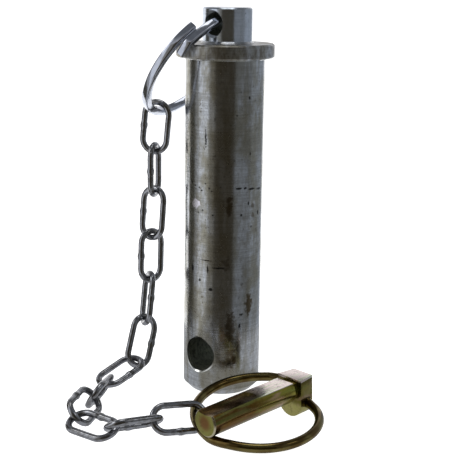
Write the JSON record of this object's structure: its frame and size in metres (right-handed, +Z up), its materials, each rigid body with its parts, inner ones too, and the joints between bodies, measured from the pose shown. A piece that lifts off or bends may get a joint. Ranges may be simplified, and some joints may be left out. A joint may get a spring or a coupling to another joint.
{
  "type": "lower link pin",
  "caption": "Lower link pin with a collar and two cross holes, a split ring in its head, and a welded chain that holds a linch pin with its sprung ring.",
  "frame": {"origin": "centre of the pin's foot, on the ground", "axes": "+Z up the pin from its foot to its head; Y along both cross holes, with the linch pin on the -Y side; the chain hangs on the -X side"},
  "size_m": [0.0905, 0.0939, 0.1383],
  "materials": {
    "pin_steel": "turned, zinc plated, worn",
    "ring_steel": "bright zinc plated",
    "chain_steel": "dark zinc plated",
    "linch_steel": "yellow passivated zinc"
  },
  "bodies": {
    "pin": {"pin_body": "pin_steel"},
    "split_ring": {"split_ring": "ring_steel"},
    "chain_link_01": {"chain_link_01": "chain_steel"},
    "chain_link_02": {"chain_link_02": "chain_steel"},
    "chain_link_03": {"chain_link_03": "chain_steel"},
    "chain_link_04": {"chain_link_04": "chain_steel"},
    "chain_link_05": {"chain_link_05": "chain_steel"},
    "chain_link_06": {"chain_link_06": "chain_steel"},
    "chain_link_07": {"chain_link_07": "chain_steel"},
    "chain_link_08": {"chain_link_08": "chain_steel"},
    "chain_link_09": {"chain_link_09": "chain_steel"},
    "chain_link_10": {"chain_link_10": "chain_steel"},
    "chain_link_11": {"chain_link_11": "chain_steel"},
    "chain_link_12": {"chain_link_12": "chain_steel"},
    "linch_ring": {"linch_ring": "linch_steel"},
    "linch_pin": {"linch_pin": "linch_steel"}
  },
  "joints": [
    {"name": "split_swing", "type": "hinge", "parent": "pin", "child": "split_ring", "pos_m": [-0.0002, 0, 0.1326], "axis": [-0.3214, 0.883, -0.342], "range_deg": [0, 40]},
    {"name": "link_01_swing", "type": "hinge", "parent": "split_ring", "child": "chain_link_01", "pos_m": [-0.02517, -0.00666, 0.10375], "axis": [-0.9205, -0.3751, 0.1095], "range_deg": [-4, 40]},
    {"name": "link_02_swing", "type": "hinge", "parent": "chain_link_01", "child": "chain_link_02", "pos_m": [-0.02717, -0.0064, 0.08783], "axis": [-0.3746, 0.9272, 0], "range_deg": [-6, 45]},
    {"name": "link_03_swing", "type": "hinge", "parent": "chain_link_02", "child": "chain_link_03", "pos_m": [-0.02717, -0.0064, 0.06933], "axis": [0.3746, -0.9272, 0], "range_deg": [-36, 8]},
    {"name": "link_04_swing", "type": "hinge", "parent": "chain_link_03", "child": "chain_link_04", "pos_m": [-0.02685, -0.00864, 0.05343], "axis": [-0.9985, -0.0531, -0.0127], "range_deg": [-12, 45]},
    {"name": "link_05_swing", "type": "hinge", "parent": "chain_link_04", "child": "chain_link_05", "pos_m": [-0.02659, -0.00979, 0.03984], "axis": [-0.8171, 0.4983, -0.2901], "range_deg": [-16, 36]},
    {"name": "link_06_swing", "type": "hinge", "parent": "chain_link_05", "child": "chain_link_06", "pos_m": [-0.02392, -0.01553, 0.02245], "axis": [0.8171, -0.4983, 0.2901], "range_deg": [-45, 40]},
    {"name": "link_07_swing", "type": "hinge", "parent": "chain_link_06", "child": "chain_link_07", "pos_m": [-0.0224, -0.02129, 0.0102], "axis": [-0.9964, 0.0516, 0.0674], "range_deg": [-45, 45]},
    {"name": "link_08_swing", "type": "hinge", "parent": "chain_link_07", "child": "chain_link_08", "pos_m": [-0.02365, -0.03912, 0.00541], "axis": [0.9964, -0.0516, -0.0674], "range_deg": [-12, 45]},
    {"name": "link_09_swing", "type": "hinge", "parent": "chain_link_08", "child": "chain_link_09", "pos_m": [-0.01523, -0.05321, 0.00647], "axis": [0.4182, 0.3137, 0.8525], "range_deg": [-36, 5]},
    {"name": "link_10_swing", "type": "hinge", "parent": "chain_link_09", "child": "chain_link_10", "pos_m": [-0.01092, -0.06746, 0.00461], "axis": [0, -0.9336, -0.3584], "range_deg": [-15, 45]},
    {"name": "link_11_swing", "type": "hinge", "parent": "chain_link_10", "child": "chain_link_11", "pos_m": [0.00605, -0.06815, 0.0064], "axis": [0.7784, -0.288, 0.5578], "range_deg": [-36, 4]},
    {"name": "link_12_swing", "type": "hinge", "parent": "chain_link_11", "child": "chain_link_12", "pos_m": [0.01326, -0.05116, 0.00511], "axis": [0.7784, -0.288, 0.5578], "range_deg": [-45, 30]},
    {"name": "linch_ring_swing", "type": "hinge", "parent": "chain_link_12", "child": "linch_ring", "pos_m": [0.01972, -0.04056, 0.0046], "axis": [-0.6896, 0.7041, 0.1694], "range_deg": [-45, 22]},
    {"name": "linch_pin_turn", "type": "hinge", "parent": "linch_ring", "child": "linch_pin", "pos_m": [0.03882, -0.00622, 0.00753], "axis": [0.8837, -0.2217, -0.4121], "range_deg": [-150, 0]}
  ]
}
